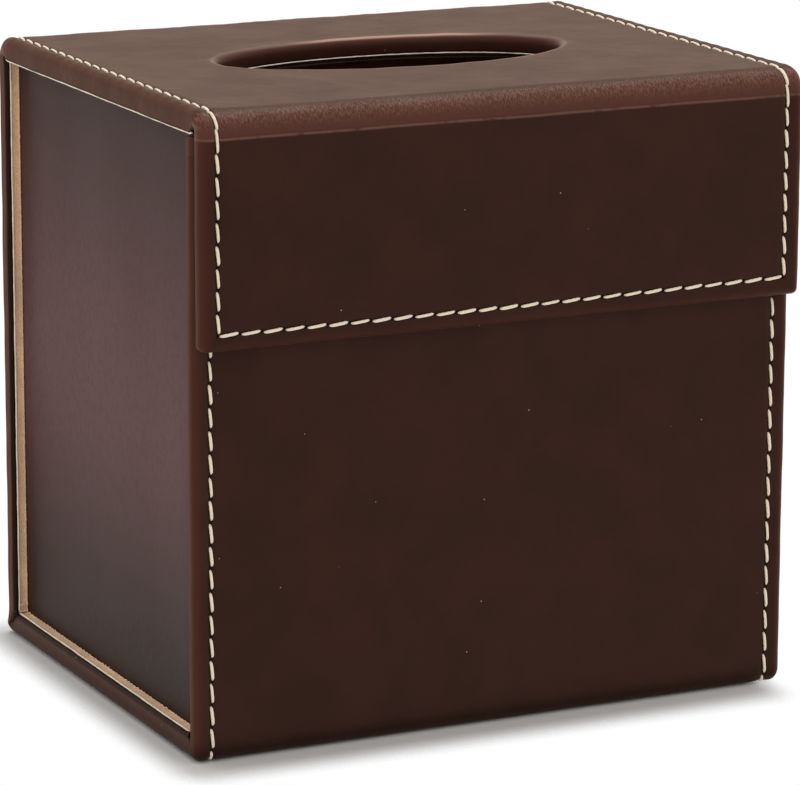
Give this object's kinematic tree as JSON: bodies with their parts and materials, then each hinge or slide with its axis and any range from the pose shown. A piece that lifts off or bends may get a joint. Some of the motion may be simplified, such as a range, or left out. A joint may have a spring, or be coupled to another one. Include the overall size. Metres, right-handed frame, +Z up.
{
  "type": "tissue box holder",
  "caption": "Leather-covered box for a cube tissue box, with an oval dispensing opening in a hinged lid and a front flap with a hidden magnetic closure.",
  "frame": {"origin": "centre of the closed box's footprint, on the floor", "axes": "+X to the right and +Z up, the flap is on the -Y side and the lid's hinge on the +Y side"},
  "size_m": [0.154, 0.1264, 0.1513],
  "materials": {
    "wrap_leather": "smooth, satin, dark brown",
    "side_leather": "smooth, satin, purplish brown",
    "suede_lining": "tan suede",
    "thread": "cream waxed thread",
    "board": "fibreboard stiffener",
    "magnet": "nickel plated",
    "keeper": "plain steel"
  },
  "bodies": {
    "box": {"base_leather": "wrap_leather", "base_board": "board", "base_lining": "suede_lining", "base_stitching": "thread", "front_leather": "wrap_leather", "front_board": "board", "flap_keepers": "keeper", "front_lining": "suede_lining", "front_stitching": "thread", "back_leather": "wrap_leather", "back_board": "board", "back_lining": "suede_lining", "back_stitching": "thread", "left_side_leather": "side_leather", "left_side_board": "board", "left_side_lining": "suede_lining", "right_side_leather": "side_leather", "right_side_board": "board", "right_side_lining": "suede_lining", "rear_fold_leather": "wrap_leather", "rear_fold_lining": "suede_lining", "rear_fold_stitching": "thread"},
    "lid": {"lid_leather": "wrap_leather", "lid_board": "board", "lid_lining": "suede_lining", "lid_stitching": "thread", "front_fold_leather": "wrap_leather", "front_fold_lining": "suede_lining", "front_fold_stitching": "thread"},
    "flap": {"flap_leather": "wrap_leather", "flap_board": "board", "flap_magnets": "magnet", "flap_lining": "suede_lining", "flap_stitching": "thread"}
  },
  "joints": [
    {"name": "lid_hinge", "type": "hinge", "parent": "box", "child": "lid", "pos_m": [0, 0.06126, 0.14936], "axis": [-1, 0, 0], "range_deg": [0, 210], "deforming": ["rear_fold_leather", "rear_fold_lining", "rear_fold_stitching"]},
    {"name": "flap_hinge", "type": "hinge", "parent": "lid", "child": "flap", "pos_m": [0, -0.0606, 0.14936], "axis": [-1, 0, 0], "range_deg": [0, 120], "deforming": ["front_fold_leather", "front_fold_lining", "front_fold_stitching"]}
  ]
}
